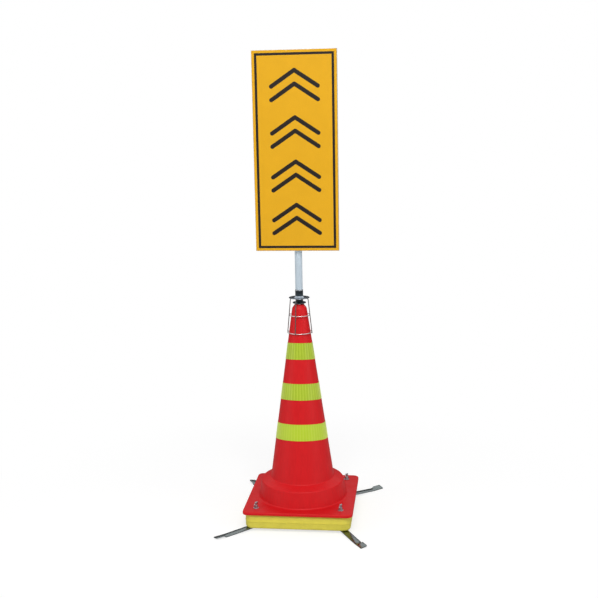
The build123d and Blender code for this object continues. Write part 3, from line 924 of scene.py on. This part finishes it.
# %% Leg
hold()
leg_back = leg_width / 2
bpy.ops.mesh.primitive_cube_add(size=1, location=((leg_reach - leg_back) / 2, 0, leg_thickness / 2),
                                scale=(leg_reach + leg_back, leg_width, leg_thickness))
leg = settle("leg")
edit(leg)
pick("EDGE", lambda edge: upright(edge) and edge.verts[0].co.x < 0)
bpy.ops.mesh.bevel(offset=leg_back - tiny, segments=16, affect="EDGES", clamp_overlap=False)
pick("EDGE", lambda edge: upright(edge) and edge.verts[0].co.x > leg_reach - tiny)
bpy.ops.mesh.bevel(offset=leg_tip_radius, segments=6, affect="EDGES")
toe_cuts = [toe_start + (toe_turned - toe_start) * step / 8 for step in range(9)]
for along in [place for place, height in leg_line[1:-1]] + toe_cuts:
    bpy.ops.mesh.select_all(action="SELECT")
    bpy.ops.mesh.bisect(plane_co=(along, 0, 0), plane_no=(1, 0, 0))
hold()
for vertex in leg.data.vertices:
    vertex.co = bend_leg(vertex.co)
modify(leg, "BEVEL", width=0.5 * mm, segments=2, limit_method="ANGLE", angle_limit=math.radians(40))
boolean(leg, rod("drill", bolt_radius + running_gap, 0, 20 * mm), "DIFFERENCE")
smooth(leg)

# %% Four legs, each along its own direction
feet = {mount["name"]: Vector(mount["pos_m"]) for mount in frame["record"]["mounts"]}
for name, place in corner_of.items():
    way = feet["foot_" + name] - place
    bar = copy_of(leg, "leg_bar_" + name)
    bar.data.transform(Matrix.Translation((place.x, place.y, 0))
                       @ Matrix.Rotation(math.atan2(way.y, way.x), 4, "Z"))
    stand_in(bar, leg_steel, "leg_" + name)
bpy.data.objects.remove(leg)

# %% [markdown]
# ## Wing nuts
#
# A wing nut is cast or pressed in one piece, so its wings flow into the hub. Hub and wings could be
# joined with a boolean and beveled, but bevels fail where three surfaces meet. A voxel remesh melts
# them into one skin instead, and a few rounds of smoothing give the soft look of a casting.

# %% Wing nuts
for name in corner_names:
    nut = plain_copy("wing_nut_" + name, "wing_nut_cast_" + name)
    modify(nut, "REMESH", mode="VOXEL", voxel_size=0.45 * mm)
    modify(nut, "SMOOTH", factor=0.5, iterations=4)
    smooth(nut, 60)
    stand_in(nut, zinc_steel, "wing_nut_" + name)

# %% [markdown]
# ## Threads
#
# A thread is one V that climbs round the rod. A bump texture would look flat at the rod's outline, so
# the V is real: a small square loses one corner, and the Screw modifier winds what is left of it up
# the axis. Both ends are closed to a point, and only the part inside a chamfered blank is kept.

# %% Threaded rod
def threaded(name, crest, root, pitch, low, high, steps=28):
    """Upright threaded rod between two heights, with chamfered ends."""
    turns = math.ceil((high - low) / pitch) + 4
    start = low - 1.5 * pitch
    hold()
    bpy.ops.mesh.primitive_circle_add(vertices=4, radius=1, location=(root, 0, start),
                                      rotation=(math.pi / 2, 0, 0), scale=(crest - root, pitch / 2, 1))
    screw = settle(name)
    edit(screw)
    pick("VERT", lambda vertex: vertex.co.x < root - tiny)
    bpy.ops.mesh.delete(type="VERT")
    modify(screw, "SCREW", axis="Z", angle=2 * math.pi, screw_offset=pitch, iterations=turns,
           steps=steps, render_steps=steps, use_merge_vertices=False)
    edit(screw)
    bpy.ops.mesh.select_all(action="SELECT")
    bpy.ops.mesh.remove_doubles(threshold=0.002 * mm)
    for above in (False, True):
        middle = (low + high) / 2
        pick("EDGE", lambda edge: len(edge.link_faces) == 1 and (edge.verts[0].co.z > middle) == above)
        bpy.ops.mesh.extrude_region_move(TRANSFORM_OT_translate={"value": (0, 0, 0)})
        bpy.ops.mesh.merge(type="CENTER")
    bpy.ops.mesh.select_all(action="SELECT")
    bpy.ops.mesh.normals_make_consistent(inside=False)
    blank = rod("blank", crest - 0.03 * mm, low, high, count=48)
    edit(blank)
    pick("EDGE", lambda edge: at_height(edge, low) or at_height(edge, high))
    bpy.ops.mesh.bevel(offset=crest - root, segments=1, affect="EDGES")
    boolean(screw, blank, "INTERSECT")
    return screw


# %% Corner bolts
bolt_low, bolt_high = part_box("corner_bolts")
head_high = leg_bottom
head_flats = 13 * mm
thread_start = 55 * mm
overlap = 1 * mm
hold()
bpy.ops.mesh.primitive_cylinder_add(vertices=6, radius=head_flats / math.sqrt(3),
                                    depth=head_high - bolt_low.z,
                                    location=(0, 0, (head_high + bolt_low.z) / 2))
bolt = settle("bolt")
boolean(bolt, rod("shank", bolt_radius - 0.05 * mm, head_high - overlap, thread_start + overlap), "UNION")
modify(bolt, "BEVEL", width=0.5 * mm, segments=2, limit_method="ANGLE", angle_limit=math.radians(50))
boolean(bolt, threaded("thread", bolt_radius, 3.4 * mm, 1.25 * mm, thread_start, bolt_high.z), "UNION")
bolts = [copy_of(bolt, "bolt_" + name) for name in corner_names]
for name, copy in zip(corner_names, bolts):
    copy.data.transform(Matrix.Translation((corner_of[name].x, corner_of[name].y, 0)))
bpy.data.objects.remove(bolt)
bolts = join("threaded_bolts", bolts)
smooth(bolts, 30)
stand_in(bolts, zinc_steel, "corner_bolts")
softened(zinc_steel, 0.25 * mm, "corner_washers")

# %% [markdown]
# ## Head on the tip
#
# The stud comes up through the cone's tip and carries a wide washer, two nuts and the cage. The disc of
# the cage is pressed from sheet, so all its bends are round. It is drawn out from one ring along its
# section, like the cone.

# %% Stud, bush, washers and nuts
stud_low, stud_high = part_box("stud")
stud = threaded("stud_thread", 6 * mm, 5.2 * mm, 1.75 * mm, stud_low.z, stud_high.z)
smooth(stud, 30)
stand_in(stud, zinc_steel, "stud")
softened(white_nylon, 0.4 * mm, "tip_bush")
softened(dark_steel, 0.3 * mm, "seat_washer", "spring_washer", "lower_nuts", "upper_nut")
softened(bright_steel, 0.4 * mm, "pole_plug")

# %% Cage disc
disc_low, disc_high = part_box("cage_disc")
disc_radius = disc_high.x
sheet = 2 * mm
hub_rise = 6 * mm
hub_top = disc_high.z
hub_under = hub_top - sheet
disc_top = hub_top - hub_rise
disc_under = disc_low.z
stud_hole = 6.02 * mm
hub_radius = 13.3 * mm
hub_foot = 18.5 * mm
section = soften([(stud_hole, hub_top), (hub_radius, hub_top), (hub_foot, disc_top), (disc_radius, disc_top),
                  (disc_radius, disc_under), (hub_foot - sheet, disc_under),
                  (hub_radius - sheet, hub_under), (stud_hole, hub_under)],
                 [2.5 * mm, 2.5 * mm, 0.9 * mm, 0.9 * mm, 1.5 * mm, 1.0 * mm])
disc = turned("pressed_disc", section)
smooth(disc, 50)
stand_in(disc, disc_steel, "cage_disc")

# %% [markdown]
# ## Cage
#
# The cage is bent and welded from round wire. A curve with a bevel would give the same wire, but here
# it is bent as on a jig: a ring is pushed out along the wire's foot, spun round the bend and pushed on
# down the straight run. A drop of weld sits wherever two wires meet.

# %% Cage wires
wire_radius = 1.5 * mm
wire_top_radius = 32.5 * mm
wire_low_radius = 45.3 * mm
wire_drop = 121.5 * mm
wire_foot = 12 * mm
wire_bend = 4 * mm
wire_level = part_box("cage_wires")[1].z - wire_radius
run_down = Vector((wire_low_radius - wire_top_radius, 0, -wire_drop))
bend_angle = Vector((1, 0, 0)).angle(run_down)
bend_start = wire_top_radius - wire_bend * math.tan(bend_angle / 2)

hold()
bpy.ops.mesh.primitive_circle_add(vertices=16, radius=wire_radius, rotation=(0, math.pi / 2, 0),
                                  location=(wire_top_radius - wire_foot, 0, wire_level))
wire = settle("wire")
edit(wire)
bpy.ops.mesh.select_all(action="SELECT")
bpy.ops.mesh.extrude_region_move(
    TRANSFORM_OT_translate={"value": (bend_start - wire_top_radius + wire_foot, 0, 0)})
bpy.ops.mesh.spin(steps=8, angle=-bend_angle, center=(bend_start, 0, wire_level - wire_bend),
                  axis=(0, 1, 0))
straight = run_down.length - (wire_top_radius - bend_start)
bpy.ops.mesh.extrude_region_move(TRANSFORM_OT_translate={"value": run_down.normalized() * straight})
bpy.ops.mesh.edge_face_add()
pick("EDGE", lambda edge: len(edge.link_faces) == 1)
bpy.ops.mesh.edge_face_add()
bpy.ops.mesh.select_all(action="SELECT")
bpy.ops.mesh.normals_make_consistent(inside=False)
modify(wire, "BEVEL", width=0.3 * mm, segments=2, limit_method="ANGLE", angle_limit=math.radians(60))


def weld(place, size):
    """A drop of weld, flattened a little from top to bottom."""
    hold()
    bpy.ops.mesh.primitive_ico_sphere_add(subdivisions=3, radius=size, location=place, scale=(1, 1, 0.8))
    drop = settle("weld")
    modify(drop, "SMOOTH", factor=0.5, iterations=2)
    return drop


# %% Cage hoops and welds
hoop_drops = [58.5 * mm, 119.5 * mm]
welds = [weld((wire_top_radius - wire_foot + 3 * mm, 0, wire_level + 0.4 * mm), 2.2 * mm)]
for name, drop in zip(["cage_hoop_upper", "cage_hoop_lower"], hoop_drops):
    hoop_low, hoop_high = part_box(name)
    hoop_radius = hoop_high.x - wire_radius
    hoop_level = (hoop_low.z + hoop_high.z) / 2
    hold()
    bpy.ops.mesh.primitive_torus_add(major_radius=hoop_radius, minor_radius=wire_radius, major_segments=96,
                                     minor_segments=16, location=(0, 0, hoop_level))
    hoop = settle(name + "_wire")
    smooth(hoop, 60)
    stand_in(hoop, hoop_steel, name)
    welds.append(weld((hoop_radius + wire_radius, 0, hoop_level + wire_radius * 0.5), 2.0 * mm))
wire = join("wire", [wire] + welds)
wire_turn = -14
quarters = [copy_of(wire, "quarter") for quarter in range(4)]
for quarter, copy in enumerate(quarters):
    copy.data.transform(Matrix.Rotation(math.radians(-90 + wire_turn + 90 * quarter), 4, "Z"))
bpy.data.objects.remove(wire)
wires = join("bent_wires", quarters)
smooth(wires, 60)
stand_in(wires, wire_steel, "cage_wires")

# %% [markdown]
# ## Pole and board
#
# The pole is a plain tube with a cap. The board is a tray folded from thin sheet, so its corners are
# tight. Two hat-shaped rails stiffen it from behind, and two saddles clamp it to the pole.

# %% Pole, tray, rails and saddles
softened(pole_metal, 0.3 * mm, "pole_tube")
softened(cap_black, 0.3 * mm, "pole_cap")
softened(board_metal, 0.2 * mm, "board_panel")
softened(rail_metal, 0.25 * mm, "rail_upper", "rail_lower")
softened(bright_steel, 0.3 * mm, "saddle_upper", "saddle_lower")
softened(zinc_steel, 0.3 * mm, "saddle_bolts", "saddle_nuts")

# %% [markdown]
# The board's face is a sheet of reflective film with a black line printed round it. The line could be
# a separate frame laid on top, but it is only ink. So the film's front is inset twice, and the faces
# between the two insets get the ink as their material.

# %% Face film and its border line
film_low, film_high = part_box("face_sheet")
film_middle = (film_low + film_high) / 2
border_margin = 8.6 * mm
border_width = 8.3 * mm
hold()
bpy.ops.mesh.primitive_cube_add(size=1, location=film_middle, scale=film_high - film_low)
face = settle("face_film")
face.data.materials.append(face_yellow.material)
face.data.materials.append(ink_black.material)
edit(face)
pick("FACE", lambda side: side.normal.y < -0.9)
bpy.ops.mesh.inset(thickness=border_margin)
bpy.ops.mesh.inset(thickness=border_width)
inner = (film_high.x - border_margin - border_width, film_high.x - border_margin)
pick("FACE", lambda side: side.normal.y < -0.9 and side.calc_area() < 0.5 * inner[0]
     and any(abs(abs(vertex.co.x) - inner[0]) < tiny for vertex in side.verts)
     and any(abs(abs(vertex.co.x) - inner[1]) < tiny for vertex in side.verts))
face.active_material_index = 1
bpy.ops.object.material_slot_assign()
stand_in(face, face_yellow, "face_sheet")

# %% [markdown]
# Inside the line, four plain double chevrons stand one above the other. They are generic marks of the
# same weight as lettering. One stroke is a thin block with round ends. Two strokes joined at the top
# make a chevron, and all the others are copies of it.

# %% Chevrons
stroke = 14 * mm
ink = 0.06 * mm
chevron_half = 78 * mm
chevron_rise = 52 * mm
chevron_step = 44 * mm
chevron_places = [114.6 * mm, 268 * mm, 414 * mm, 559 * mm]
board_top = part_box("board_panel")[1].z


def stroke_bar(side):
    """Stroke with round ends from the chevron's point down to one side."""
    length = math.hypot(chevron_half, chevron_rise)
    hold()
    bpy.ops.mesh.primitive_cube_add(size=1, location=(length / 2, 0, 0),
                                    scale=(length + stroke, stroke, 2 * ink))
    bar = settle("stroke")
    edit(bar)
    pick("EDGE", upright)
    bpy.ops.mesh.bevel(offset=stroke / 2 - tiny, segments=10, affect="EDGES", clamp_overlap=False)
    hold()
    slope = math.atan2(chevron_rise, chevron_half)
    bar.data.transform(Matrix.Rotation(math.pi / 2, 4, "X")
                       @ Matrix.Rotation(-slope if side > 0 else math.pi + slope, 4, "Z"))
    return bar


chevron = stroke_bar(1)
boolean(chevron, stroke_bar(-1), "UNION")
chevron.data.transform(Matrix.Translation((0, film_low.y, 0)))
marks = []
for place in chevron_places:
    for shift in (chevron_rise / 2 + chevron_step / 2, chevron_rise / 2 - chevron_step / 2):
        mark = copy_of(chevron, "mark")
        mark.data.transform(Matrix.Translation((0, 0, board_top - place + shift)))
        marks.append(mark)
bpy.data.objects.remove(chevron)
marks = join("chevrons", marks)
marks.data.materials.append(ink_black.material)
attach(marks, "sign_head")
print("chevrons", len(marks.data.polygons), "faces")
